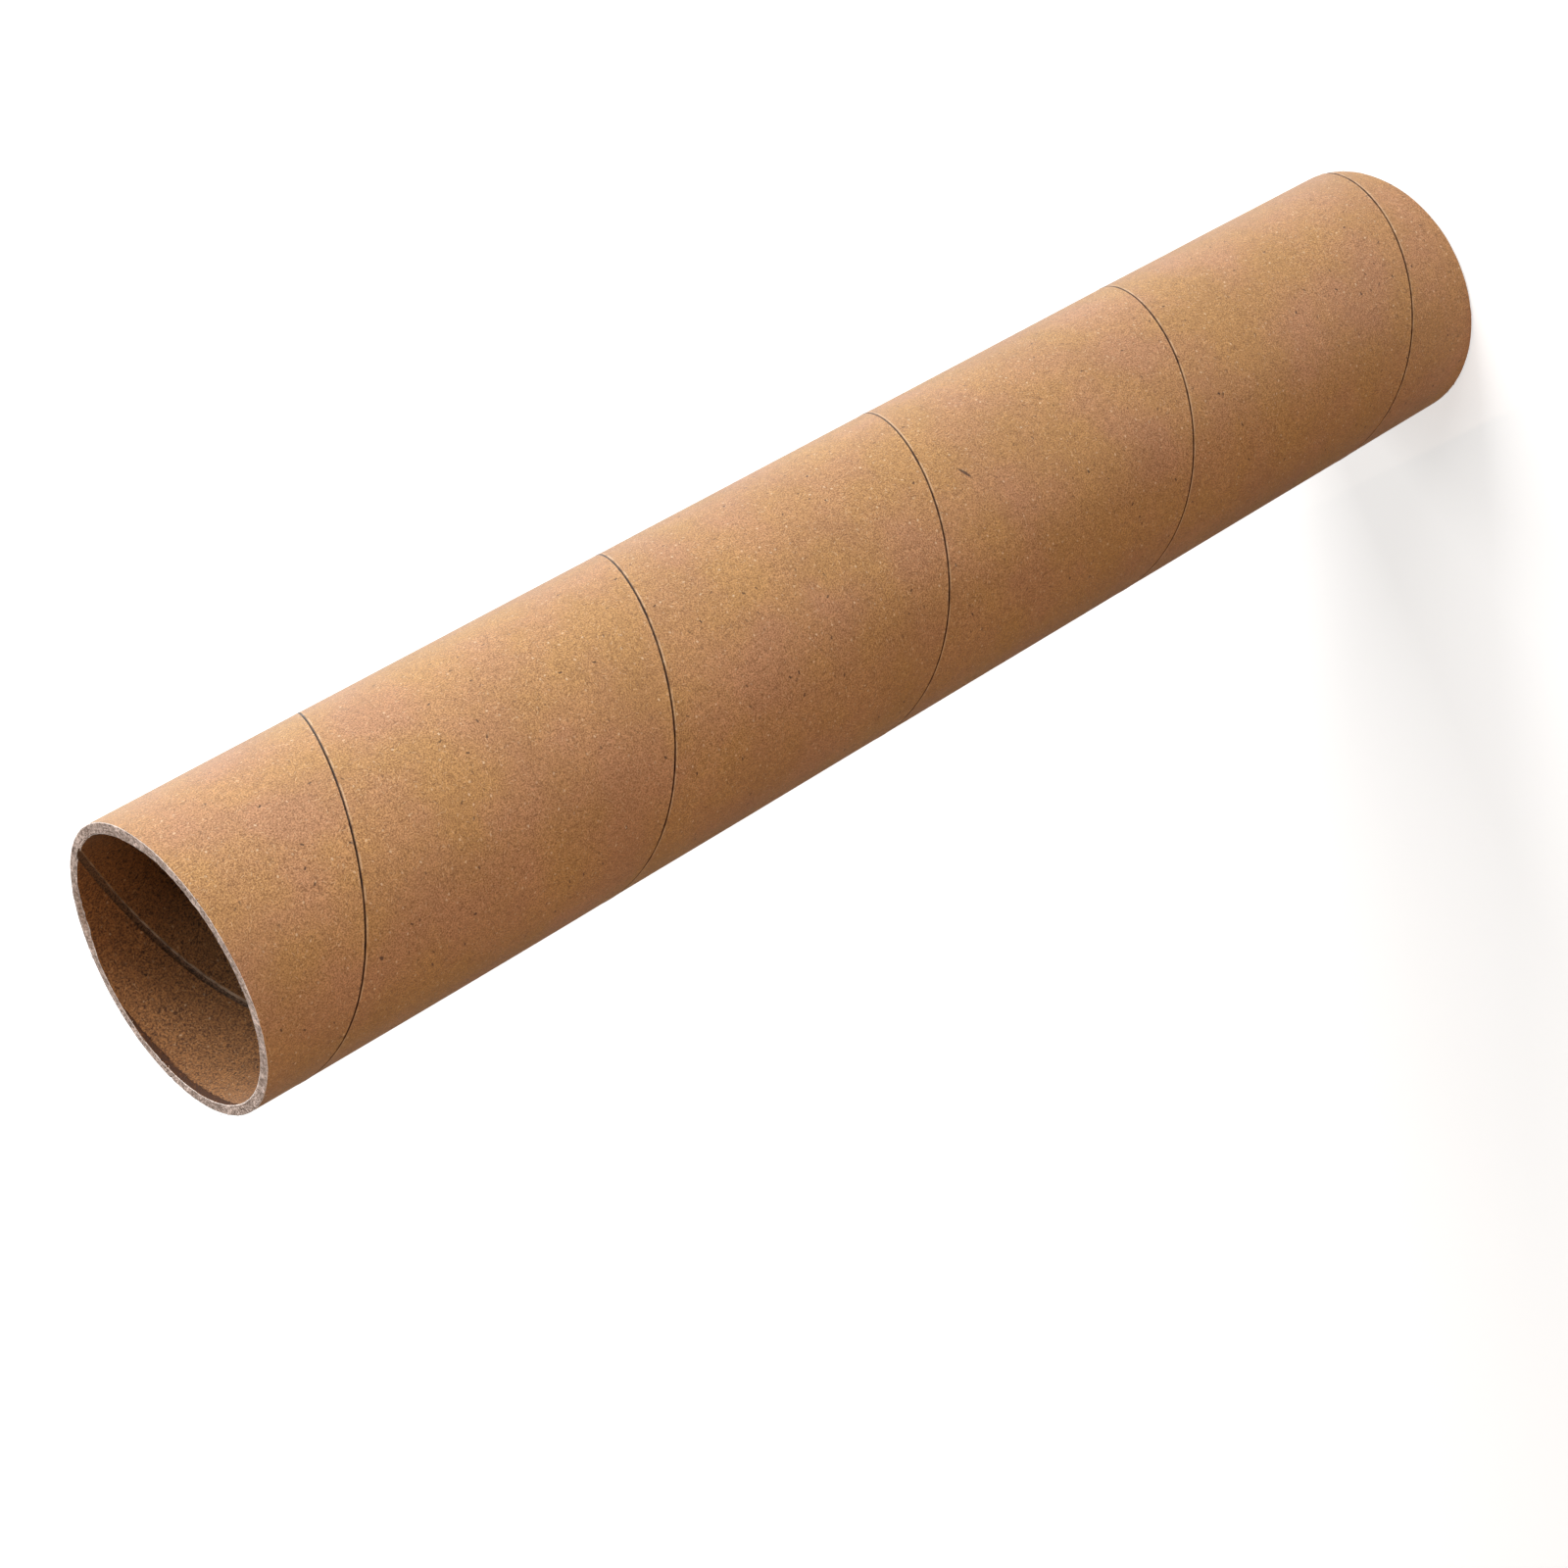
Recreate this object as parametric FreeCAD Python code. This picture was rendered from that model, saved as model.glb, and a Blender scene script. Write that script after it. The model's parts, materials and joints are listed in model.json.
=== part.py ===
"""Spiral-wound cardboard mailing tube, open at both ends.

Strips of kraft board are glued over each other round a mandrel, and the long tube is sawn to length,
so the wall is one piece. Each strip is wound edge to edge with itself. The joint shows outside as a
hairline helix and inside as a wider open gap, each one strip deep, and both run out through the ends.

Millimetres. The tube stands on its sawn lower end: the origin is the centre of that end, and +Z runs
up the tube's axis.
"""

import FreeCAD
import Part

import math
import os

TUBE_LENGTH = 304.8
BORE_DIAMETER = 50.0
STRIP_THICKNESS = 0.475
STRIP_COUNT = 4
EDGE_BREAK = 0.15

WINDING_PITCH = 66.0
OUTER_JOINT_WIDTH = 0.3
OUTER_JOINT_RISE = 63.8
INNER_JOINT_WIDTH = 1.2
INNER_JOINT_RISE = 43.9

WALL = STRIP_THICKNESS * STRIP_COUNT
BORE_RADIUS = BORE_DIAMETER / 2
OUTER_RADIUS = BORE_RADIUS + WALL


def at(radius, height):
    """A point of the tube's section, in the XZ plane."""
    return FreeCAD.Vector(radius, 0, height)


def sawn_ring():
    """The plain wall: its section, with the four sawn edges broken, turned about the axis."""
    outline = [
        at(BORE_RADIUS, EDGE_BREAK),
        at(BORE_RADIUS + EDGE_BREAK, 0),
        at(OUTER_RADIUS - EDGE_BREAK, 0),
        at(OUTER_RADIUS, EDGE_BREAK),
        at(OUTER_RADIUS, TUBE_LENGTH - EDGE_BREAK),
        at(OUTER_RADIUS - EDGE_BREAK, TUBE_LENGTH),
        at(BORE_RADIUS + EDGE_BREAK, TUBE_LENGTH),
        at(BORE_RADIUS, TUBE_LENGTH - EDGE_BREAK),
    ]
    section = Part.Face(Part.makePolygon(outline + outline[:1]))
    return section.revolve(FreeCAD.Vector(0, 0, 0), FreeCAD.Vector(0, 0, 1), 360)


def joint_cutter(low_radius, high_radius, width, rise):
    """The open joint between the turns of one strip, as a left-handed ribbon of solid.

    rise is the height at which the joint crosses the +X side. The ribbon starts a whole number of
    turns below that and ends above the tube, so it runs out through both ends.
    """
    spare = WINDING_PITCH / 4
    turns_below = math.ceil((rise + spare) / WINDING_PITCH)
    turns_above = math.ceil((TUBE_LENGTH - rise + spare) / WINDING_PITCH)
    start = rise - turns_below * WINDING_PITCH
    height = (turns_below + turns_above) * WINDING_PITCH
    radius = (low_radius + high_radius) / 2
    helix = Part.makeLongHelix(WINDING_PITCH, height, radius, 0, True)
    helix.translate(FreeCAD.Vector(0, 0, start))
    slope = math.atan2(WINDING_PITCH, 2 * math.pi * radius)
    across = FreeCAD.Vector(0, math.sin(slope), math.cos(slope)) * (width / 2)
    inside = at(low_radius, start)
    outside = at(high_radius, start)
    profile = Part.makePolygon(
        [inside - across, outside - across, outside + across, inside + across, inside - across]
    )
    return Part.Wire(helix.Edges).makePipeShell([profile], True, True)


def wound_tube():
    """The wall with both joints cut one strip deep. Each cutter stands a wall clear of the surface."""
    outer_floor = OUTER_RADIUS - STRIP_THICKNESS
    inner_floor = BORE_RADIUS + STRIP_THICKNESS
    outer_joint = joint_cutter(outer_floor, OUTER_RADIUS + WALL, OUTER_JOINT_WIDTH, OUTER_JOINT_RISE)
    inner_joint = joint_cutter(BORE_RADIUS - WALL, inner_floor, INNER_JOINT_WIDTH, INNER_JOINT_RISE)
    return sawn_ring().cut([outer_joint, inner_joint])


def main():
    os.makedirs("parts", exist_ok=True)
    tube = wound_tube()
    print("tube valid", tube.isValid(), "solids", len(tube.Solids), "volume mm3", round(tube.Volume, 1))
    tube.exportStep("parts/tube.step")


main()
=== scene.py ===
import json
import math

import bpy
from mathutils import Matrix, Vector


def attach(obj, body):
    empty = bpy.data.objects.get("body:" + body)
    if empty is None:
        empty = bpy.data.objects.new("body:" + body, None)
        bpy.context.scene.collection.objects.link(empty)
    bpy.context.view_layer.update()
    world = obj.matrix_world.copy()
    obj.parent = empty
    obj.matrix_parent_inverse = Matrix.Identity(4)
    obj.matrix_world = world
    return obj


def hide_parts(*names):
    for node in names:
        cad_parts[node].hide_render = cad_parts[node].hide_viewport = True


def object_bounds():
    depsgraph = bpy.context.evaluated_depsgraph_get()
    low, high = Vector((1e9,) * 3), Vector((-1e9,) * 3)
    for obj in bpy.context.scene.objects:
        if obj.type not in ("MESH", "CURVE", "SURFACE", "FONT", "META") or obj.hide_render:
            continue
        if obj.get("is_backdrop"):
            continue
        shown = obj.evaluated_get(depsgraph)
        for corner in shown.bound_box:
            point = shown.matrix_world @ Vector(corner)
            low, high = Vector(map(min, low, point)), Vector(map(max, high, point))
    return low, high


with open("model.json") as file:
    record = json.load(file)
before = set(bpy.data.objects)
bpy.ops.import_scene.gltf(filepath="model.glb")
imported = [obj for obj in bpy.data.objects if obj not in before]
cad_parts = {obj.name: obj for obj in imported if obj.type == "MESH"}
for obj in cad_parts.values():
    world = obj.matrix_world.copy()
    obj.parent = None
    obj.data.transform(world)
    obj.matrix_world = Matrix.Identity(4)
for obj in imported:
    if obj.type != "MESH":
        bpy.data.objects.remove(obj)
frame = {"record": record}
cad_low, cad_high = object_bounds()

# The wall: four strips of kraft board wound edge to edge round a mandrel, each glued over the one below it,
# and sawn to length. The outermost strip butts into a hairline helix, and the innermost leaves an open gap.
# A rule gives the wall's radius at every turn and height, so Geometry Nodes make it as one closed shell.

MM = 0.001
TUBE_LENGTH = cad_high.z - cad_low.z
OUTER_RADIUS = cad_high.x
BORE_RADIUS = next(m for m in frame["record"]["mounts"] if m["name"] == "bore")["dims"]["r_mm"] * MM
STRIP_COUNT = 4
STRIP_THICKNESS = (OUTER_RADIUS - BORE_RADIUS) / STRIP_COUNT
EDGE_BREAK = 0.15 * MM

WINDING_PITCH = 66.0 * MM
OUTER_JOINT_WIDTH = 0.28 * MM
OUTER_JOINT_RISE = 63.8 * MM
OUTER_RAGGEDNESS = 0.18 * MM
INNER_JOINT_WIDTH = 1.2 * MM
INNER_JOINT_RISE = 43.9 * MM
INNER_RAGGEDNESS = 0.07 * MM

COLUMNS = 400
ROWS_EACH_SIDE = 8
ROWS_PER_TURN = 2 * ROWS_EACH_SIDE + 1


class Value:
    """A number that a node tree works out. Arithmetic on it adds Math nodes to the tree."""

    def __init__(self, socket):
        self.socket = socket

    def math(self, operation, *others):
        numbers = dict(enumerate((self, *others)))
        return out(put(self.socket.id_data, "ShaderNodeMath", numbers, operation=operation))

    def __add__(self, other):
        return self.math("ADD", other)

    def __sub__(self, other):
        return self.math("SUBTRACT", other)

    def __rsub__(self, other):
        return self.math("MULTIPLY_ADD", -1.0, other)

    def __mul__(self, other):
        return self.math("MULTIPLY", other)

    def __truediv__(self, other):
        return self.math("DIVIDE", other)


def out(node, name=0):
    return Value(node.outputs[name])


def put(tree, kind, inputs=None, **settings):
    """Adds a node and sets its properties, then its inputs, with plain values or other nodes' values."""
    node = tree.nodes.new(kind)
    for name, setting in settings.items():
        setattr(node, name, setting)
    for name, value in (inputs or {}).items():
        if isinstance(value, Value):
            tree.links.new(value.socket, node.inputs[name])
        else:
            node.inputs[name].default_value = value
    return node


def new_tree(name, kind, inputs, outputs):
    """A node tree with named sockets, and what its inputs give. A plain number sets an input's default."""
    tree = bpy.data.node_groups.new(name, kind)
    for label, value in inputs.items():
        socket_type = value if isinstance(value, str) else "Int" if isinstance(value, int) else "Float"
        socket = tree.interface.new_socket(label, in_out="INPUT", socket_type="NodeSocket" + socket_type)
        if not isinstance(value, str):
            socket.default_value = value
    for label, socket_type in outputs.items():
        tree.interface.new_socket(label, in_out="OUTPUT", socket_type="NodeSocket" + socket_type)
    given = tree.nodes.new("NodeGroupInput").outputs
    return tree, {label: Value(given[label]) for label in inputs}


def give(tree, results):
    """Ends a node tree: its named outputs give these values."""
    put(tree, "NodeGroupOutput", results)


def stretch(value, low, high, at_low=0.0, at_high=1.0):
    """value with low moved to at_low and high to at_high, and held there beyond them."""
    ends = {"From Min": low, "From Max": high, "To Min": at_low, "To Max": at_high}
    return out(put(value.socket.id_data, "ShaderNodeMapRange", {"Value": value, **ends}))


def choose(test, yes, no):
    answers = {"Switch": test, "True": yes, "False": no}
    return out(put(test.socket.id_data, "GeometryNodeSwitch", answers, input_type="FLOAT"))


def on_tube(turn, radius, height):
    """The point at a part of a turn from the +X side, a radius and a height."""
    angle = turn * math.tau
    across = {"X": angle.math("COSINE") * radius, "Y": angle.math("SINE") * radius, "Z": height}
    return out(put(turn.socket.id_data, "ShaderNodeCombineXYZ", across))


def noise(place, size, detail=1.0):
    """Smooth noise from 0 to 1 with blotches of about this size."""
    inputs = {"Vector": place, "Scale": 1.0 / size, "Detail": detail}
    return out(put(place.socket.id_data, "ShaderNodeTexNoise", inputs))


def group_node(tree, inner, inputs):
    kind = "GeometryNodeGroup" if tree.bl_idname == "GeometryNodeTree" else "ShaderNodeGroup"
    return put(tree, kind, inputs, node_tree=inner)


def group(tree, inner, inputs, name=0):
    return out(group_node(tree, inner, inputs), name)


# The two edges of a winding joint stray a little from the helix, each in its own way.

JOINT = {"Radius": 0.0, "Joint Width": 0.0, "Joint Rise": 0.0, "Winding Pitch": 0.0, "Raggedness": 0.0}
STRAY_REACH = 3.0 * MM
SLOW_STRAYS_PER_MM = 0.12
QUICK_STRAYS_PER_MM = 1.3
QUICK_STRAY_SHARE = 0.7
STRAY_MIDDLE = 0.85
EDGES_APART = 417.3

stray, given = new_tree(
    "Joint edge stray",
    "GeometryNodeTree",
    {"Wound Turns": 0.0, "Away": 0.0, "Side": 0.0, **JOINT},
    {"Stray": "Float"},
)
along = given["Wound Turns"] * given["Radius"] * (math.tau / MM) + given["Side"] * EDGES_APART
slow = {"W": along, "Scale": SLOW_STRAYS_PER_MM}
slow = out(put(stray, "ShaderNodeTexNoise", slow, noise_dimensions="1D"))
quick = {"W": along, "Scale": QUICK_STRAYS_PER_MM, "Detail": 1.0}
quick = out(put(stray, "ShaderNodeTexNoise", quick, noise_dimensions="1D"))
half = given["Joint Width"] * 0.5
fade = stretch(given["Away"], half, half + STRAY_REACH, 1.0, 0.0)
give(stray, {"Stray": (slow + quick * QUICK_STRAY_SHARE - STRAY_MIDDLE) * given["Raggedness"] * fade})

# One face of a strip, outside or inside. Its joint is sunk by the strip's thickness between steep edges with
# raised lips. The face is wavy and out of round near the ends, and the bore is pushed in at one place on top.

STEEP = 0.04 * MM
LIP_HEIGHT = 0.05 * MM
LIP_REACH = 0.5 * MM
WAVE_SIZE = 26 * MM
WAVE_DEPTH = 0.12 * MM
WAVE_TOP = 0.9
SQUEEZE_REACH = 70 * MM
SQUEEZE_LOBES = 3
TOP_SQUEEZE = 0.24 * MM
TOP_SQUEEZE_TURN = 112 / 360
TOP_SQUEEZE_INWARD = 0.93
BASE_SQUEEZE = 0.14 * MM
BASE_SQUEEZE_TURN = 40 / 360
BASE_SQUEEZE_INWARD = 0.88
DENT_TURN = 330 / 360
DENT_HALF_WIDTH = 26 / 360
DENT_DEPTH = 0.5 * MM
DENT_REACH = 7 * MM

face, given = new_tree(
    "Strip face",
    "GeometryNodeTree",
    {"Turn": 0.0, "Height": 0.0, "Cut": 0.0, "Length": 0.0, **JOINT},
    {"Radius": "Float", "Plain Radius": "Float"},
)
turn = given["Turn"]
pitches = (given["Height"] - given["Joint Rise"]) / given["Winding Pitch"] + turn
nearest = pitches.math("ROUND")
offset = (pitches - nearest) * given["Winding Pitch"]
away = offset.math("ABSOLUTE")
passed = {label: given[label] for label in JOINT}
where = {"Wound Turns": nearest - turn, "Away": away, "Side": offset.math("SIGN")}
away = away - group(face, stray, {**where, **passed})
half = given["Joint Width"] * 0.5
sunk = stretch(away, half - STEEP, half, 1.0, 0.0)
lip = stretch(away, half, half + LIP_REACH, 1.0, 0.0) * (1.0 - sunk)
proud = given["Cut"].math("SIGN") * -LIP_HEIGHT
waves = (noise(on_tube(turn, given["Radius"], given["Height"]), WAVE_SIZE) - WAVE_TOP) * WAVE_DEPTH


def squeeze(from_end, amount, at_turn, inward):
    """Out of round near an end, with three high places, and never further out than the plain radius."""
    near = stretch(from_end, 0.0, SQUEEZE_REACH, 1.0, 0.0)
    lobes = ((turn - at_turn) * (SQUEEZE_LOBES * math.tau)).math("COSINE") - inward
    return near * near * lobes * amount


below_top = given["Length"] - given["Height"]
top = squeeze(below_top, TOP_SQUEEZE, TOP_SQUEEZE_TURN, TOP_SQUEEZE_INWARD)
base = squeeze(given["Height"], BASE_SQUEEZE, BASE_SQUEEZE_TURN, BASE_SQUEEZE_INWARD)
at_bore = given["Cut"].math("SIGN").math("MAXIMUM", 0.0)
dent = stretch((turn - DENT_TURN).math("ABSOLUTE"), 0.0, DENT_HALF_WIDTH, DENT_DEPTH, 0.0) * at_bore
dent = dent * stretch(below_top, 0.0, DENT_REACH, 1.0, 0.0)
plain = given["Radius"] - LIP_HEIGHT + waves + top + base - dent
give(face, {"Radius": plain + given["Cut"] * sunk + proud * lip, "Plain Radius": plain})

# How far each sawn edge is rubbed down, and the one place of the top rim where it is crushed.

RUB_SIZE = 5 * MM
NICK_SIZE = 1.1 * MM
NICK_SHARE = 0.6
MOST_RUB = 1.2
LEAST_RUB = 0.1
CRUSH_TURN = 55 / 360
CRUSH_HALF_WIDTH = 18 / 360
CRUSH_CORE = 0.3
CRUSH_DEPTH = 0.45 * MM


def crushed_at(turn):
    """1 in the middle of the crushed place, and 0 beyond it."""
    from_crush = (turn - CRUSH_TURN).math("ABSOLUTE")
    return stretch(from_crush, CRUSH_HALF_WIDTH * CRUSH_CORE, CRUSH_HALF_WIDTH, 1.0, 0.0)


edge, given = new_tree(
    "Worn edge",
    "GeometryNodeTree",
    {"Turn": 0.0, "Radius": 0.0, "Edge Break": 0.0, "Crush": 0.0, "Top": 0.0},
    {"Depth": "Float"},
)
ring = on_tube(given["Turn"], given["Radius"], given["Top"])
rub = noise(ring, RUB_SIZE) + noise(ring, NICK_SIZE) * NICK_SHARE
rubbed = given["Edge Break"] * (rub * MOST_RUB - LEAST_RUB)
give(edge, {"Depth": rubbed + crushed_at(given["Turn"]) * given["Crush"] * rub})

# A wound sheet is the whole outside or inside. Its rows of points run along the helix, close together at the
# joint and wider apart between its turns, and the rows past the ends are held at the sawn edges.

SPARE_LAPS = 2.0
EDGE_ROW = 2.0
FIRST_FACE_ROW = 3.0
FIRST_FACE_STEP = 0.3 * MM
SNAP = 0.03 * MM
ROW_SPREAD = 2.2

sheet, given = new_tree(
    "Wound sheet",
    "GeometryNodeTree",
    {"Cut": 0.0, "Length": 0.0, "Edge Break": 0.0, "Crush": 0.0, "Columns": COLUMNS, **JOINT},
    {"Mesh": "Geometry"},
)
laps = (given["Length"] / given["Winding Pitch"]).math("CEIL") + SPARE_LAPS
rows = laps * ROWS_PER_TURN
grid = put(sheet, "GeometryNodeMeshGrid", {"Vertices X": given["Columns"] + 1.0, "Vertices Y": rows})
place = put(sheet, "ShaderNodeSeparateXYZ", {0: out(put(sheet, "GeometryNodeInputPosition"))})
turn = out(place, "X") + 0.5
row = ((out(place, "Y") + 0.5) * (rows - 1.0)).math("ROUND")
lap = ((row + 0.5) / ROWS_PER_TURN).math("FLOOR")
step = row - lap * ROWS_PER_TURN - float(ROWS_EACH_SIDE)
count = step.math("ABSOLUTE")
side = step.math("SIGN")
half = given["Joint Width"] * 0.5
first = half + FIRST_FACE_STEP
spread = stretch(count, FIRST_FACE_ROW, float(ROWS_EACH_SIDE)).math("POWER", ROW_SPREAD)
beyond = first + (given["Winding Pitch"] * 0.5 - first) * spread
near = choose(count.math("GREATER_THAN", EDGE_ROW - 0.5), half, (half - STEEP) * count)
away = choose(count.math("GREATER_THAN", FIRST_FACE_ROW - 0.5), beyond, near)
wound = lap - 1.0 - turn
passed = {label: given[label] for label in JOINT}
strays = group(sheet, stray, {"Wound Turns": wound, "Away": away, "Side": side, **passed})
height = given["Joint Rise"] + wound * given["Winding Pitch"] + side * (away + strays)
worn = {"Turn": turn, "Radius": given["Radius"], "Edge Break": given["Edge Break"]}
below_top = group(sheet, edge, {**worn, "Crush": given["Crush"], "Top": 1.0})
above_base = group(sheet, edge, {**worn, "Crush": 0.0, "Top": 0.0})
highest = given["Length"] - below_top
height = choose(height.math("GREATER_THAN", highest - SNAP), highest, height)
height = choose(height.math("LESS_THAN", above_base + SNAP), above_base, height)
shape = {"Turn": turn, "Height": height, "Cut": given["Cut"], "Length": given["Length"], **passed}
spot = on_tube(turn, group(sheet, face, shape, "Radius"), height)
moved = put(sheet, "GeometryNodeSetPosition", {"Geometry": out(grid, "Mesh"), "Position": spot})
give(sheet, {"Mesh": out(moved)})

TUBE = {
    "Length": TUBE_LENGTH,
    "Winding Pitch": WINDING_PITCH,
    "Edge Break": EDGE_BREAK,
    "Bore Radius": BORE_RADIUS,
    "Outer Radius": OUTER_RADIUS,
    "Strip Thickness": STRIP_THICKNESS,
    "Inner Joint Width": INNER_JOINT_WIDTH,
    "Inner Joint Rise": INNER_JOINT_RISE,
    "Inner Raggedness": INNER_RAGGEDNESS,
    "Outer Joint Width": OUTER_JOINT_WIDTH,
    "Outer Joint Rise": OUTER_JOINT_RISE,
    "Outer Raggedness": OUTER_RAGGEDNESS,
    "Crush": CRUSH_DEPTH,
    "Columns": COLUMNS,
}


def upright(width, radius, pitch):
    """The height of a winding joint whose width is measured square to it."""
    slope = pitch / (radius * math.tau)
    return (slope * slope + 1.0).math("SQRT") * width


def strip_side(given, radius, joint, cut_way):
    """What a face of the wall is made from. The cut goes outward from the bore and inward from outside."""
    return {
        "Radius": given[radius],
        "Joint Width": upright(given[joint + " Joint Width"], given[radius], given["Winding Pitch"]),
        "Joint Rise": given[joint + " Joint Rise"],
        "Winding Pitch": given["Winding Pitch"],
        "Raggedness": given[joint + " Raggedness"],
        "Cut": given["Strip Thickness"] * cut_way,
        "Length": given["Length"],
    }


def inner_side(given):
    return strip_side(given, "Bore Radius", "Inner", 1.0)


def outer_side(given):
    return strip_side(given, "Outer Radius", "Outer", -1.0)


# A sawn end joins the inside and the outside. The saw leaves it rough and opens the glue lines in places.

CUT_ROWS = 19
LAST_ROW = CUT_ROWS - 1.0
ROW_GAP = 0.002 * MM
SAW_ROUGHNESS = 0.07 * MM
FINE_SAW_MARKS = 0.5 * MM
BROAD_SAW_MARKS = 6 * MM
GLUE_LINE_DEPTH = 0.07 * MM
GLUE_LINE_HALF_WIDTH = 0.2
GLUE_FROM_ROW = 2.0
GLUE_FULL_ROW = 4.0
OPEN_GLUE_SIZE = 3 * MM

cut_end, given = new_tree("Sawn end", "GeometryNodeTree", {**TUBE, "Top": 0.0}, {"Mesh": "Geometry"})
grid = put(cut_end, "GeometryNodeMeshGrid", {"Vertices X": given["Columns"] + 1.0, "Vertices Y": CUT_ROWS})
place = put(cut_end, "ShaderNodeSeparateXYZ", {0: out(put(cut_end, "GeometryNodeInputPosition"))})
turn = out(place, "X") + 0.5
row = ((out(place, "Y") + 0.5) * LAST_ROW).math("ROUND")
across = stretch(row, 1.0, LAST_ROW - 1.0)
level = given["Length"] * given["Top"]
inward = 1.0 - given["Top"] * 2.0
worn = {"Turn": turn, "Edge Break": given["Edge Break"], "Top": given["Top"]}
crush = given["Crush"] * given["Top"]
bore_depth = group(cut_end, edge, {**worn, "Radius": given["Bore Radius"], "Crush": crush})
outer_depth = group(cut_end, edge, {**worn, "Radius": given["Outer Radius"], "Crush": 0.0})
bore_height = level + inward * bore_depth
outer_height = level + inward * outer_depth
bore_face = group_node(cut_end, face, {**inner_side(given), "Turn": turn, "Height": bore_height})
outer_face = group_node(cut_end, face, {**outer_side(given), "Turn": turn, "Height": outer_height})
bore_radius = out(bore_face, "Radius")
outer_radius = out(outer_face, "Radius")
bore_plain = out(bore_face, "Plain Radius")
plain = bore_plain + (out(outer_face, "Plain Radius") - bore_plain) * across
nearest_bore = bore_radius + given["Edge Break"] + row * ROW_GAP
nearest_outside = outer_radius - given["Edge Break"] - (LAST_ROW - row) * ROW_GAP
radius = plain.math("MAXIMUM", nearest_bore).math("MINIMUM", nearest_outside)
strip_edge = (across * STRIP_COUNT - (across * STRIP_COUNT).math("ROUND")).math("ABSOLUTE")
glue_line = stretch(strip_edge, 0.0, GLUE_LINE_HALF_WIDTH, 1.0, 0.0)
glue_line = glue_line * stretch(row, GLUE_FROM_ROW, GLUE_FULL_ROW)
glue_line = glue_line * stretch(row, LAST_ROW - GLUE_FROM_ROW, LAST_ROW - GLUE_FULL_ROW)
spot = on_tube(turn, plain, level)
rough = noise(spot, FINE_SAW_MARKS, 2.0) * SAW_ROUGHNESS + noise(spot, BROAD_SAW_MARKS) * SAW_ROUGHNESS
open_line = stretch(noise(spot, OPEN_GLUE_SIZE), 0.45, 0.65)
crushed = crushed_at(turn) * crush * stretch(across, 0.2, 0.6, 1.0, 0.0)
depth = rough + glue_line * open_line * GLUE_LINE_DEPTH + crushed
at_bore = row.math("LESS_THAN", 0.5)
at_outside = row.math("GREATER_THAN", LAST_ROW - 0.5)
depth = choose(at_bore, bore_depth, choose(at_outside, outer_depth, depth))
radius = choose(at_bore, bore_radius, choose(at_outside, outer_radius, radius))
moved = put(cut_end, "GeometryNodeSetPosition", {
    "Geometry": out(grid, "Mesh"),
    "Position": on_tube(turn, radius, level + inward * depth),
})
kept = put(cut_end, "GeometryNodeStoreNamedAttribute", {
    "Geometry": out(moved),
    "Name": "across_wall",
    "Value": across,
}, data_type="FLOAT", domain="POINT")
give(cut_end, {"Mesh": out(kept)})

# The two sheets and the two sawn ends, joined into one closed wall with crisp edges.

MERGE_DISTANCE = 0.0005 * MM
CREASE_ANGLE = math.radians(35)

wall, given = new_tree(
    "Wound wall",
    "GeometryNodeTree",
    {**TUBE, "Outside": "Material", "Inside": "Material", "Sawn": "Material"},
    {"Mesh": "Geometry"},
)
shared = {label: given[label] for label in TUBE}
worn = {"Edge Break": given["Edge Break"], "Columns": given["Columns"]}
outside = group(wall, sheet, {**outer_side(given), **worn, "Crush": 0.0})
inside = group(wall, sheet, {**inner_side(given), **worn, "Crush": given["Crush"]})
inside = out(put(wall, "GeometryNodeFlipFaces", {"Mesh": inside}))
lower = group(wall, cut_end, {**shared, "Top": 0.0})
upper = out(put(wall, "GeometryNodeFlipFaces", {"Mesh": group(wall, cut_end, {**shared, "Top": 1.0})}))
join = put(wall, "GeometryNodeJoinGeometry")
for part, finish in ((outside, "Outside"), (inside, "Inside"), (lower, "Sawn"), (upper, "Sawn")):
    finished = put(wall, "GeometryNodeSetMaterial", {"Geometry": part, "Material": given[finish]})
    wall.links.new(finished.outputs[0], join.inputs[0])
merged = put(wall, "GeometryNodeMergeByDistance", {"Geometry": out(join), "Distance": MERGE_DISTANCE})
smooth = put(wall, "GeometryNodeSetShadeSmooth", {"Geometry": out(merged), "Shade Smooth": True})
bend = out(put(wall, "GeometryNodeInputMeshEdgeAngle"), "Unsigned Angle")
creased = put(wall, "GeometryNodeSetShadeSmooth", {
    "Geometry": out(smooth),
    "Selection": bend.math("GREATER_THAN", CREASE_ANGLE),
    "Shade Smooth": False,
}, domain="EDGE")
give(wall, {"Mesh": out(put(wall, "GeometryNodeRealizeInstances", {"Geometry": out(creased)}))})


# The board's looks. It is recycled pulp pressed flat: mottled, with pale and dark fibres, flecks and sparks.
# Their spacing, length and width are in millimetres, and a share says how many of the places hold one.

def vector(operation, first, second, name="Vector"):
    """The result of a Vector Math node."""
    tree = first.socket.id_data
    return out(put(tree, "ShaderNodeVectorMath", {0: first, 1: second}, operation=operation), name)


def unit(way):
    """A vector made one long."""
    return out(put(way.socket.id_data, "ShaderNodeVectorMath", {0: way}, operation="NORMALIZE"))


def blend(amount, below, above):
    """A colour between two others."""
    mix = {0: amount, 6: below, 7: above}
    return out(put(amount.socket.id_data, "ShaderNodeMix", mix, data_type="RGBA"), 2)


def along_surface(way, facing):
    """The part of a vector that lies in the surface."""
    depth = vector("DOT_PRODUCT", way, facing, "Value")
    scaled = put(way.socket.id_data, "ShaderNodeVectorMath", {0: facing, "Scale": depth}, operation="SCALE")
    return vector("SUBTRACT", way, out(scaled))


SPOT = {"Place": "Vector", "Facing": "Vector"}
MOST_CURL = 0.8
FAINTEST_FIBRE = 0.25

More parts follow.
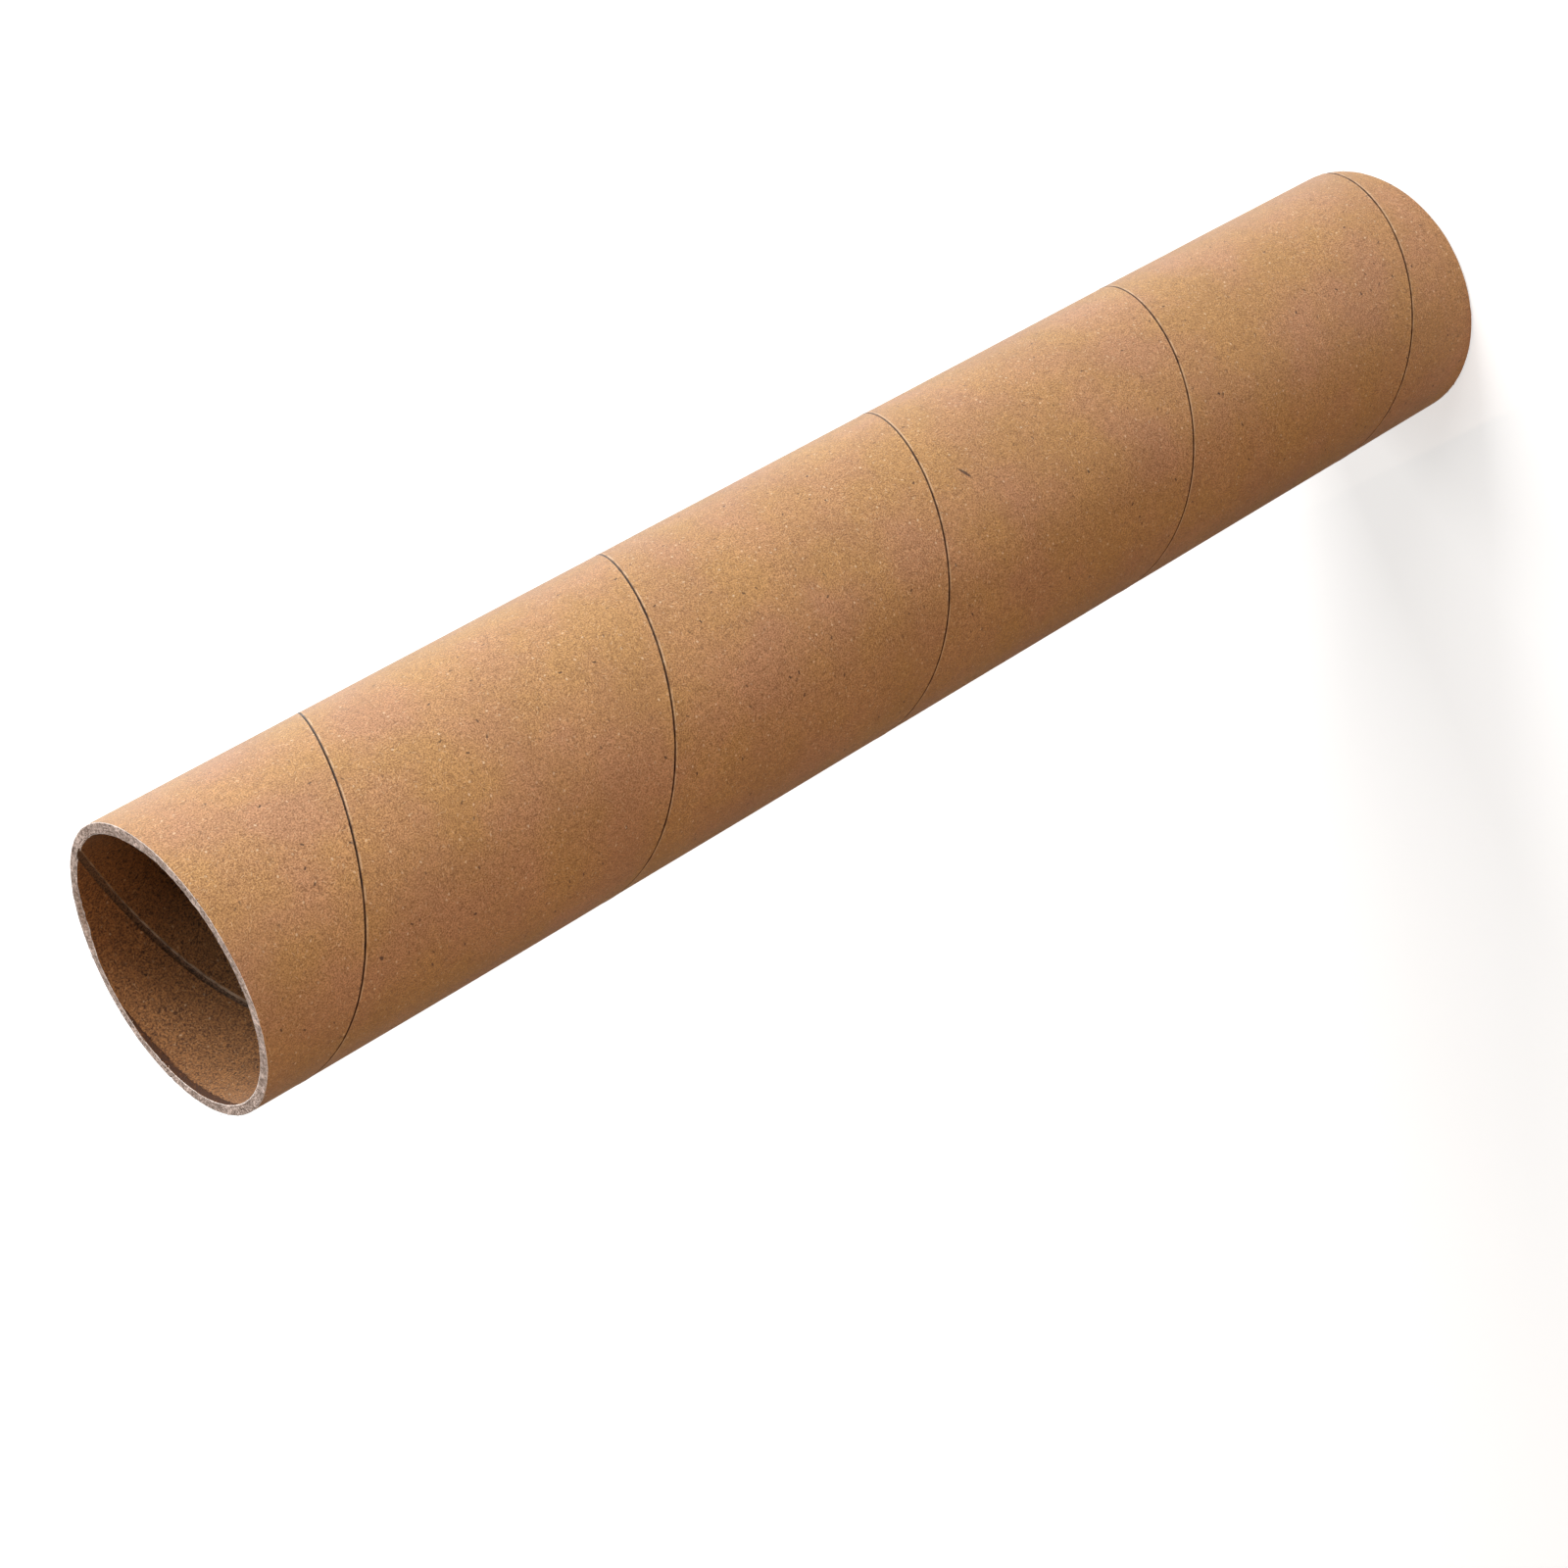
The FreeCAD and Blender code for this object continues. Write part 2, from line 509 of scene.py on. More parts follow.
fibres, given = new_tree(
    "Loose fibres",
    "ShaderNodeTree",
    {**SPOT, "Spacing": 1.6, "Length": 1.0, "Width": 0.14, "Share": 0.5},
    {"Mask": "Float"},
)
per_metre = (given["Spacing"] * MM).math("POWER", -1.0)
cells = put(fibres, "ShaderNodeTexVoronoi", {"Vector": given["Place"], "Scale": per_metre})
from_middle = along_surface(vector("SUBTRACT", given["Place"], out(cells, "Position")), given["Facing"])
cell_colour = out(cells, "Color")
lie = unit(along_surface(vector("SUBTRACT", cell_colour, (0.5, 0.5, 0.5)), given["Facing"]))
lots = put(fibres, "ShaderNodeSeparateColor", {0: cell_colour})
luck = out(lots, "Green")
lengthwise = vector("DOT_PRODUCT", from_middle, lie, "Value") / MM
sideways = vector("DOT_PRODUCT", from_middle, vector("CROSS_PRODUCT", lie, given["Facing"]), "Value") / MM
curl = (luck - 0.5) * MOST_CURL
sideways = (sideways - lengthwise * lengthwise * curl).math("ABSOLUTE")
reach = lengthwise.math("ABSOLUTE") / given["Length"]
thin = stretch(sideways / given["Width"], 0.25, 0.6, 1.0, 0.0)
short = stretch(reach, 0.35, 0.5, 1.0, 0.0)
there = out(lots, "Red").math("LESS_THAN", given["Share"])
give(fibres, {"Mask": thin * short * there * stretch(luck * luck, 0.0, 1.0, FAINTEST_FIBRE, 1.0)})

CLUMP_SIZE = 1.3 * MM
CLOUD_SIZE = 17 * MM
HUE_SIZE = 14 * MM
PALE_FIBRES = {"Spacing": 1.1, "Length": 0.9, "Width": 0.13}
DARK_FIBRES = {"Spacing": 1.5, "Length": 1.1, "Width": 0.15}
FLECKS = {"Spacing": 3.3, "Length": 0.75, "Width": 0.38}
SPARKS = {"Spacing": 1.8, "Length": 0.5, "Width": 0.36, "Share": 0.22}

pulp, given = new_tree(
    "Pulp",
    "ShaderNodeTree",
    {**SPOT, "Grain": 0.4, "Fibre Share": 0.5, "Fleck Share": 0.3},
    {"Mottle": "Float", "Cloud": "Float", "Hue": "Float", "Pale": "Float", "Dark": "Float", "Flecks": "Float",
     "Sparks": "Float", "Height": "Float"},
)
place = given["Place"]
elsewhere = vector("ADD", place, (3.0, 5.0, 7.0))
spot = {"Place": place, "Facing": given["Facing"]}
other_spot = {"Place": elsewhere, "Facing": given["Facing"]}
per_metre = (given["Grain"] * MM).math("POWER", -1.0)
grains = {"Vector": place, "Scale": per_metre, "Detail": 1.0, "Roughness": 0.5}
grain = out(put(pulp, "ShaderNodeTexNoise", grains))
mottle = stretch(grain * 0.85 + noise(place, CLUMP_SIZE) * 0.15, 0.32, 0.68)
pale = group(pulp, fibres, {**spot, **PALE_FIBRES, "Share": given["Fibre Share"]})
dark = group(pulp, fibres, {**other_spot, **DARK_FIBRES, "Share": given["Fibre Share"]})
flecks = group(pulp, fibres, {**spot, **FLECKS, "Share": given["Fleck Share"]})
give(pulp, {
    "Mottle": mottle,
    "Cloud": stretch(noise(place, CLOUD_SIZE, 2.0), 0.3, 0.7),
    "Hue": stretch(noise(elsewhere, HUE_SIZE, 3.0), 0.36, 0.64),
    "Pale": pale,
    "Dark": dark,
    "Flecks": flecks,
    "Sparks": group(pulp, fibres, {**other_spot, **SPARKS}),
    "Height": mottle * 0.6 + pale * 0.5 - dark * 0.3 - flecks * 0.4,
})

helix, given = new_tree(
    "Winding joint",
    "ShaderNodeTree",
    {"Place": "Vector", "Joint Rise": 0.0, "Winding Pitch": WINDING_PITCH},
    {"Offset": "Float"},
)
place = put(helix, "ShaderNodeSeparateXYZ", {0: given["Place"]})
turn = out(place, "Y").math("ARCTAN2", out(place, "X")) * (1 / math.tau)
pitches = (out(place, "Z") - given["Joint Rise"]) / given["Winding Pitch"] + turn
give(helix, {"Offset": (pitches - pitches.math("ROUND")) * given["Winding Pitch"] / MM})


def new_material(name, **constants):
    """A material with one Principled shader, whose constants are set on its own sockets."""
    material = bpy.data.materials.new(name)
    material.use_nodes = True
    shader = next(n for n in material.node_tree.nodes if n.type == "BSDF_PRINCIPLED")
    for label, constant in constants.items():
        shader.inputs[label.replace("_", " ").title().replace("Ior", "IOR")].default_value = constant
    return material, material.node_tree, shader


def object_place(nodes):
    """Where a point is on the piece."""
    return out(put(nodes, "ShaderNodeTexCoord"), "Object")


def board_surface(nodes, **inputs):
    """Where a point of the board is, and the pulp it is made of."""
    place = object_place(nodes)
    facing = unit(out(put(nodes, "ShaderNodeVectorMath", {0: place, 1: (1, 1, 0)}, operation="MULTIPLY")))
    inputs = {label.replace("_", " ").title(): value for label, value in inputs.items()}
    made = group_node(nodes, pulp, {"Place": place, "Facing": facing, **inputs})
    return place, {output.name: Value(output) for output in made.outputs}


def finish(nodes, shader, colour, height, depth, roughness):
    """Joins the colour, the roughness and a bump of this depth to the shader."""
    bump = put(nodes, "ShaderNodeBump", {"Strength": 1.0, "Distance": depth, "Height": height})
    nodes.links.new(colour.socket, shader.inputs["Base Color"])
    nodes.links.new(roughness.socket, shader.inputs["Roughness"])
    nodes.links.new(bump.outputs[0], shader.inputs["Normal"])


# Outside: plain kraft, golden to pinkish, with a hairline joint darkened by painted shade in its groove, its
# pale torn lips and three marks.

LIP_FROM_JOINT = 0.42
LIP_SPAN = (0.06, 0.22)
HAIRLINE_SHADE_SPAN = (0.2, 0.3)
WEAR_SIZE = 2.6 * MM
GOLDEN = ((0.245, 0.116, 0.035, 1), (0.60, 0.333, 0.122, 1))
PINKISH = ((0.245, 0.111, 0.045, 1), (0.60, 0.315, 0.160, 1))
CLOUDED = (0.24, 0.114, 0.044, 1)
PALE_FIBRE = (0.72, 0.50, 0.28, 1)
DARK_FIBRE = (0.15, 0.065, 0.028, 1)
BLACK_FLECK = (0.05, 0.018, 0.008, 1)
BRIGHT_SPARK = (0.84, 0.67, 0.46, 1)
TORN_LIP = (0.80, 0.60, 0.40, 1)
HAIRLINE_SHADE = (0.050, 0.013, 0.002, 1)
MARK = (0.06, 0.024, 0.012, 1)

outside_board, nodes, shader = new_material(
    "kraft outside", specular_ior_level=0.55, sheen_weight=0.36, sheen_roughness=0.4)
place, pulps = board_surface(nodes, grain=0.27, fibre_share=0.5, fleck_share=0.24)
golden = blend(pulps["Mottle"], *GOLDEN)
pinkish = blend(pulps["Mottle"], *PINKISH)
colour = blend(pulps["Hue"], golden, pinkish)
colour = blend(pulps["Cloud"] * 0.22, colour, CLOUDED)
colour = blend(pulps["Pale"] * 0.6, colour, PALE_FIBRE)
colour = blend(pulps["Dark"] * 0.6, colour, DARK_FIBRE)
colour = blend(pulps["Flecks"] * 0.95, colour, BLACK_FLECK)
colour = blend(pulps["Sparks"] * 0.55, colour, BRIGHT_SPARK)
offset = group(nodes, helix, {"Place": place, "Joint Rise": OUTER_JOINT_RISE})
wear = noise(place, WEAR_SIZE)
# Painted shade: the hairline joint's groove and its edges are coloured near black, darker than the groove's
# own shade.
joint_shade = stretch(offset.math("ABSOLUTE") + wear * 0.08, *HAIRLINE_SHADE_SPAN, 1.0, 0.0)
joint_shade = joint_shade * stretch(wear, 0.35, 0.6, 1.0, 0.8)
lower_lip = stretch((offset + LIP_FROM_JOINT).math("ABSOLUTE"), *LIP_SPAN, 1.0, 0.0)
lower_lip = lower_lip * stretch(wear, 0.4, 0.55)
upper_lip = stretch((offset - LIP_FROM_JOINT).math("ABSOLUTE"), *LIP_SPAN, 1.0, 0.0)
upper_lip = upper_lip * stretch(wear, 0.45, 0.3)
colour = blend(lower_lip * 0.42 + upper_lip * 0.22, colour, TORN_LIP)
colour = blend(joint_shade, colour, HAIRLINE_SHADE)


def mark(azimuth, height, length, width, tilt):
    """An oval mark on the outside, in millimetres and degrees, that leans by tilt from level."""
    spot = put(nodes, "ShaderNodeSeparateXYZ", {0: place})
    angle = out(spot, "Y").math("ARCTAN2", out(spot, "X")) - math.radians(azimuth)
    level = angle * (OUTER_RADIUS / MM)
    rise = out(spot, "Z") / MM - height
    lean = math.radians(tilt)
    lengthwise = (level * math.cos(lean) + rise * math.sin(lean)) / length
    sideways = (rise * math.cos(lean) - level * math.sin(lean) - lengthwise * lengthwise * 0.3) / width
    return stretch(lengthwise * lengthwise + sideways * sideways, 0.12, 0.3, 1.0, 0.0)


marks = mark(-124, 280.9, 1.0, 0.7, 30) + mark(-73.6, 134.6, 3.2, 0.7, 25) + mark(-128, 262.0, 0.9, 0.5, 80)
colour = blend(marks * 0.85, colour, MARK)
roughness = stretch(pulps["Mottle"], 0.0, 1.0, 0.5, 0.64) + joint_shade * 0.35
finish(nodes, shader, colour, pulps["Height"], 0.05 * MM, roughness)

# Inside: darker board, with a dusty strip of the next ply in the open joint and a pale torn edge below it.

DARK_BOARD = ((0.06, 0.025, 0.011, 1), (0.40, 0.180, 0.060, 1))
DARK_CLOUDED = (0.13, 0.044, 0.013, 1)
DULL_PALE_FIBRE = (0.52, 0.29, 0.13, 1)
DULL_DARK_FIBRE = (0.055, 0.020, 0.008, 1)
DULL_FLECK = (0.022, 0.009, 0.004, 1)
DULL_SPARK = (0.66, 0.46, 0.28, 1)
DUSTY_PLY = ((0.05, 0.028, 0.017, 1), (0.22, 0.125, 0.074, 1))
GAP_EDGE = (0.54, 0.38, 0.26, 1)
GAP_EDGE_FROM_JOINT = 0.70
GAP_EDGE_SPAN = (0.08, 0.20)
GAP_EDGE_BREAKS = 1.6 * MM
GAP_SPAN = (0.62, 0.68)
DUST_SIZE = 0.34 * MM

inside_board, nodes, shader = new_material(
    "kraft inside", specular_ior_level=0.3, sheen_weight=0.1, sheen_roughness=0.5)
place, pulps = board_surface(nodes, grain=0.34, fibre_share=0.75, fleck_share=0.6)
colour = blend(pulps["Mottle"], *DARK_BOARD)
colour = blend(pulps["Cloud"] * 0.3, colour, DARK_CLOUDED)
colour = blend(pulps["Pale"] * 0.6, colour, DULL_PALE_FIBRE)
colour = blend(pulps["Dark"] * 0.8, colour, DULL_DARK_FIBRE)
colour = blend(pulps["Flecks"] * 0.95, colour, DULL_FLECK)
colour = blend(pulps["Sparks"] * 0.5, colour, DULL_SPARK)
offset = group(nodes, helix, {"Place": place, "Joint Rise": INNER_JOINT_RISE})
gap = stretch(offset.math("ABSOLUTE"), *GAP_SPAN, 1.0, 0.0)
gap_edge = stretch((offset + GAP_EDGE_FROM_JOINT).math("ABSOLUTE"), *GAP_EDGE_SPAN, 1.0, 0.0)
gap_edge = gap_edge * stretch(noise(place, GAP_EDGE_BREAKS, 2.0), 0.36, 0.62, 0.15, 1.0)
dusty = blend(stretch(noise(place, DUST_SIZE, 2.0), 0.35, 0.65), *DUSTY_PLY)
colour = blend(gap, colour, dusty)
colour = blend(gap_edge * 0.7, colour, GAP_EDGE)
finish(nodes, shader, colour, pulps["Height"], 0.06 * MM, stretch(pulps["Mottle"], 0.0, 1.0, 0.7, 0.85))

# Sawn ends: pale torn fibres, with a painted highlight along the bore edge, dark glue lines and the brown
# skin outside.

UPWARD = (0.0, 0.0, 1.0)
SAWN_FIBRES = {"Spacing": 0.7, "Length": 0.7, "Width": 0.12, "Share": 0.8}
SPECKLE_SIZE = 0.42 * MM
PATCH_SIZE = 2 * MM
GLUE_BREAKS = 2.4 * MM
HIGHLIGHT_BREAKS = 3 * MM
SPECKLE = ((0.27, 0.196, 0.160, 1), (0.98, 0.775, 0.68, 1))
SAW_PATCH = (0.46, 0.35, 0.28, 1)
CUT_FIBRE = (0.86, 0.79, 0.74, 1)
GLUE = (0.16, 0.10, 0.07, 1)
BORE_EDGE_HIGHLIGHT = (1.0, 0.96, 0.92, 1)
SKIN = (0.40, 0.27, 0.17, 1)

sawn_board, nodes, shader = new_material("sawn board", specular_ior_level=0.25)
place = object_place(nodes)
across = out(put(nodes, "ShaderNodeAttribute", attribute_name="across_wall"), "Fac")
speckle = stretch(noise(place, SPECKLE_SIZE, 2.0), 0.34, 0.66)
patches = stretch(noise(place, PATCH_SIZE, 2.0), 0.35, 0.65)
cut = group(nodes, fibres, {"Place": place, "Facing": UPWARD, **SAWN_FIBRES})
colour = blend(speckle, *SPECKLE)
colour = blend(patches * 0.25, colour, SAW_PATCH)
colour = blend(cut * 0.5, colour, CUT_FIBRE)
strip_edge = (across * STRIP_COUNT - (across * STRIP_COUNT).math("ROUND")).math("ABSOLUTE")
glue = stretch(strip_edge, 0.03, 0.12, 1.0, 0.0) * stretch(noise(place, GLUE_BREAKS), 0.35, 0.6)
glue = glue * stretch(across, 0.1, 0.15) * stretch(across, 0.85, 0.9, 1.0, 0.0)
colour = blend(glue * 0.4, colour, GLUE)
# Painted highlight: a near-white band along the bore edge, broken in places, stands in for light caught by
# that edge.
lip = stretch(across, 0.16, 0.3, 1.0, 0.0) * stretch(noise(place, HIGHLIGHT_BREAKS), 0.25, 0.45, 0.3, 1.0)
colour = blend(lip, colour, BORE_EDGE_HIGHLIGHT)
colour = blend(stretch(across, 0.9, 0.98) * 0.4, colour, SKIN)
height = speckle + cut * 0.6 - glue * 0.8
finish(nodes, shader, colour, height, 0.08 * MM, stretch(speckle, 0.0, 1.0, 0.8, 0.95))


def grow(name, tree, inputs):
    """Runs a Geometry Nodes tree with these inputs, and keeps what it makes as a plain mesh."""
    piece = bpy.data.objects.new(name, bpy.data.meshes.new(name))
    bpy.context.scene.collection.objects.link(piece)
    modifier = piece.modifiers.new(tree.name, "NODES")
    modifier.node_group = tree
    for item in tree.interface.items_tree:
        if item.in_out == "INPUT" and item.name in inputs:
            modifier[item.identifier] = inputs[item.name]
    made = piece.evaluated_get(bpy.context.evaluated_depsgraph_get())
    mesh = bpy.data.meshes.new_from_object(made)
    piece.modifiers.remove(modifier)
    piece.data = mesh
    if mesh.materials[0] is None:
        mesh.materials.pop(index=0)
    return piece


tube_wall = grow("tube_wall", wall, {
    **TUBE,
    "Outside": outside_board,
    "Inside": inside_board,
    "Sawn": sawn_board,
})
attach(tube_wall, "root")
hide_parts("tube")

# The lifted ply: on one side of the top end the saw pushed the innermost strip off the one behind it.
# A torn flap of it hangs from the rim and stands a little proud of the bore, thin and reddish along its edge,
# with painted shadow darkening its lower edge.

PLY = {
    **TUBE,
    "From Turn": 94 / 360,
    "To Turn": 176 / 360,
    "Below Top": 0.22 * MM,
    "Hang": 1.15 * MM,
    "Lift": 0.3 * MM,
    "Ply Thickness": 0.14 * MM,
}
PLY_COLUMNS = 240
PLY_CORNERS = 4
PLY_ROUNDNESS = 0.6
FINE_TEAR = 1.0 * MM
BROAD_TEAR = 7 * MM

flap, given = new_tree("Lifted ply", "GeometryNodeTree", {**PLY, "Finish": "Material"}, {"Mesh": "Geometry"})
grid = put(flap, "GeometryNodeMeshGrid", {"Vertices X": PLY_COLUMNS + 1, "Vertices Y": PLY_CORNERS + 1})
place = put(flap, "ShaderNodeSeparateXYZ", {0: out(put(flap, "GeometryNodeInputPosition"))})
along = out(place, "X") + 0.5
turn = given["From Turn"] + (given["To Turn"] - given["From Turn"]) * along
corner = ((out(place, "Y") + 0.5) * float(PLY_CORNERS)).math("ROUND").math("MODULO", float(PLY_CORNERS))
low = corner.math("GREATER_THAN", 1.5)
at_back = corner.math("LESS_THAN", 0.5) + corner.math("GREATER_THAN", 2.5)
swell = (along * math.pi).math("SINE").math("MAXIMUM", 0.0).math("POWER", PLY_ROUNDNESS)
rim = on_tube(turn, given["Bore Radius"], 0.0)
torn = noise(rim, FINE_TEAR, 3.0) + noise(rim, BROAD_TEAR)
hang = given["Hang"] * swell * (torn * 1.1 - 0.2)
height = given["Length"] - given["Below Top"] - hang * low
bore = group(flap, face, {**inner_side(given), "Turn": turn, "Height": height}, "Plain Radius")
radius = bore - given["Lift"] * swell * low * torn + given["Ply Thickness"] * swell * at_back
moved = put(flap, "GeometryNodeSetPosition", {
    "Geometry": out(grid, "Mesh"),
    "Position": on_tube(turn, radius, height),
})
kept = put(flap, "GeometryNodeStoreNamedAttribute", {
    "Geometry": out(moved),
    "Name": "down_ply",
    "Value": low,
}, data_type="FLOAT", domain="POINT")
merged = put(flap, "GeometryNodeMergeByDistance", {"Geometry": out(kept), "Distance": MERGE_DISTANCE})
whole = out(put(flap, "GeometryNodeRealizeInstances", {"Geometry": out(merged)}))
finished = put(flap, "GeometryNodeSetMaterial", {"Geometry": whole, "Material": given["Finish"]})
give(flap, {"Mesh": out(finished)})

RED_PLY = ((0.12, 0.040, 0.012, 1), (0.46, 0.18, 0.06, 1))
RED_FIBRE = (0.60, 0.38, 0.22, 1)
FLAP_SHADOW = (0.030, 0.011, 0.005, 1)
FLAP_SHADOW_BREAKS = 0.8 * MM

torn_board, nodes, shader = new_material("torn ply", specular_ior_level=0.25)
place, pulps = board_surface(nodes, grain=0.3, fibre_share=0.8, fleck_share=0.4)
down = out(put(nodes, "ShaderNodeAttribute", attribute_name="down_ply"), "Fac")
colour = blend(pulps["Mottle"], *RED_PLY)
colour = blend(pulps["Pale"] * 0.6, colour, RED_FIBRE)
# Painted shadow: the flap's low edge is coloured near black to stand in for the shade beneath it.
flap_shadow = stretch(down + noise(place, FLAP_SHADOW_BREAKS) * 0.5, 0.95, 1.2)
colour = blend(flap_shadow * 0.9, colour, FLAP_SHADOW)
finish(nodes, shader, colour, pulps["Height"], 0.06 * MM, stretch(pulps["Mottle"], 0.0, 1.0, 0.75, 0.9))

lifted_ply = grow("lifted_ply", flap, {**PLY, "Finish": torn_board})
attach(lifted_ply, "root")

# Loose fibres: paper fibres that the saw pulled out of both cut ends, and that still hang on by one end.
# They lie over the sawn edges, most of them at the bore, and none stands outside the tube.

FUZZ = {
    "Length": TUBE_LENGTH,
    "Bore Radius": BORE_RADIUS,
    "Outer Radius": OUTER_RADIUS,
    "Edge Break": EDGE_BREAK,
    "Count": 420,
    "Fibre Length": 0.8 * MM,
    "Fibre Thickness": 0.07 * MM,
    "Fibre Clear": 0.05 * MM,
    "Seed": 7,
}
SHORTEST_FIBRE = 0.4
LONGEST_FIBRE = 1.5

fuzz, given = new_tree("End fibres", "GeometryNodeTree", {**FUZZ, "Top": 0.0}, {"Mesh": "Geometry"})


def chances(seed, low, high):
    """Three random numbers for each point, the same in every run."""
    ends = {0: (low, low, low), 1: (high, high, high), "Seed": seed}
    return out(put(fuzz, "FunctionNodeRandomValue", ends, data_type="FLOAT_VECTOR"))


thread = put(fuzz, "GeometryNodeCurveQuadraticBezier", {
    "Resolution": 4,
    "Start": (-0.5, 0.0, 0.0),
    "Middle": (0.1, 0.5, 0.1),
    "End": (0.5, 0.0, 0.0),
})
round_thread = put(fuzz, "GeometryNodeCurvePrimitiveCircle", {
    "Resolution": 3,
    "Radius": given["Fibre Thickness"] * 0.5 / given["Fibre Length"],
})
fibre = put(fuzz, "GeometryNodeCurveToMesh", {
    "Curve": out(thread),
    "Profile Curve": out(round_thread),
    "Fill Caps": True,
})
luck = put(fuzz, "ShaderNodeSeparateXYZ", {0: chances(given["Seed"], 0.0, 1.0)})
across = out(luck, "Y") * out(luck, "Y")
radius = given["Bore Radius"] + (given["Outer Radius"] - given["Bore Radius"]) * across
level = given["Length"] * given["Top"] + (1.0 - given["Top"] * 2.0) * out(luck, "Z") * given["Edge Break"]
points = put(fuzz, "GeometryNodePoints", {
    "Count": given["Count"],
    "Position": on_tube(out(luck, "X"), radius, level),
})
size = put(fuzz, "ShaderNodeSeparateXYZ", {0: chances(given["Seed"] + 1.0, SHORTEST_FIBRE, LONGEST_FIBRE)})
spread = put(fuzz, "GeometryNodeInstanceOnPoints", {
    "Points": out(points),
    "Instance": out(fibre),
    "Rotation": chances(given["Seed"] + 2.0, -math.pi, math.pi),
    "Scale": out(size, "X") * given["Fibre Length"],
})
loose = put(fuzz, "GeometryNodeRealizeInstances", {"Geometry": out(spread)})
place = put(fuzz, "ShaderNodeSeparateXYZ", {0: out(put(fuzz, "GeometryNodeInputPosition"))})
from_axis = (out(place, "X") * out(place, "X") + out(place, "Y") * out(place, "Y")).math("SQRT")
inside = ((given["Outer Radius"] - given["Fibre Clear"]) / from_axis).math("MINIMUM", 1.0)
height = out(place, "Z").math("MINIMUM", given["Length"] - given["Fibre Clear"])
height = height.math("MAXIMUM", given["Fibre Clear"])
pressed = {"X": out(place, "X") * inside, "Y": out(place, "Y") * inside, "Z": height}
flat = put(fuzz, "GeometryNodeSetPosition", {
    "Geometry": out(loose),
    "Position": out(put(fuzz, "ShaderNodeCombineXYZ", pressed)),
})
give(fuzz, {"Mesh": out(flat)})

both, given = new_tree(
    "Fibres at both ends",
    "GeometryNodeTree",
    {**FUZZ, "Finish": "Material"},
    {"Mesh": "Geometry"},
)
shared = {label: given[label] for label in FUZZ}
join = put(both, "GeometryNodeJoinGeometry")
for top in (0.0, 1.0):
    end = group(both, fuzz, {**shared, "Top": top})
    both.links.new(end.socket, join.inputs[0])
whole = out(put(both, "GeometryNodeRealizeInstances", {"Geometry": out(join)}))
finished = put(both, "GeometryNodeSetMaterial", {"Geometry": whole, "Material": given["Finish"]})
give(both, {"Mesh": out(finished)})

PAPER = ((0.42, 0.25, 0.15, 1), (0.86, 0.78, 0.71, 1))
TINT_SIZE = 1.5 * MM

paper_fibre, nodes, shader = new_material("paper fibre", specular_ior_level=0.3, roughness=0.8)
tint = stretch(noise(object_place(nodes), TINT_SIZE), 0.35, 0.65)
colour = blend(tint, *PAPER)
nodes.links.new(colour.socket, shader.inputs["Base Color"])

end_fibres = grow("end_fibres", both, {**FUZZ, "Finish": paper_fibre})
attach(end_fibres, "root")

# The stage: a plain pale floor that runs to a bright backdrop, soft boxes all round, and the camera.
# A dark card lies on the floor to the left, unseen, and keeps the bright floor's light off that side.


def lay_plane(name, low_x, low_y, high_x, high_y, height):
    """A flat, level rectangle of the stage."""
    plane = bpy.data.objects.new(name, bpy.data.meshes.new(name))
    corners = [(low_x, low_y), (high_x, low_y), (high_x, high_y), (low_x, high_y)]
    plane.data.from_pydata([(x, y, height) for x, y in corners], [], [(0, 1, 2, 3)])
    bpy.context.scene.collection.objects.link(plane)
    plane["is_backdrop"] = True
    return plane


def camera_share(tree):
    """1 for what the camera sees straight, and 0 for the light that falls on other things."""
    return out(put(tree, "ShaderNodeLightPath"), "Is Camera Ray")


FLOOR_REACH = 12.0
FLOOR_HEIGHT = -0.0003
CARD_HEIGHT = -0.0002
GLOW_NEAR_TUBE = 0.62
GLOW_FROM = 0.5
GLOW_TO = 1.5

floor = lay_plane("floor", -FLOOR_REACH, -FLOOR_REACH, FLOOR_REACH, FLOOR_REACH, FLOOR_HEIGHT)
pale, nodes, shader = new_material("pale floor", roughness=0.9)
shader.inputs["Base Color"].default_value = (0.6, 0.6, 0.6, 1)
shader.inputs["Emission Color"].default_value = (1, 1, 1, 1)
from_tube = vector("DISTANCE", object_place(nodes), (0, 0, 0), "Value")
glow = stretch(from_tube, GLOW_FROM, GLOW_TO, GLOW_NEAR_TUBE, 1.0)
nodes.links.new((camera_share(nodes) * glow).socket, shader.inputs["Emission Strength"])
floor.data.materials.append(pale)

card = lay_plane("dark_card", -0.8, -0.3, -0.035, 0.8, CARD_HEIGHT)
card.visible_camera = False
card.visible_shadow = False
dark, nodes, shader = new_material("dark card", roughness=0.9)
shader.inputs["Base Color"].default_value = (0.05, 0.035, 0.025, 1)
card.data.materials.append(dark)

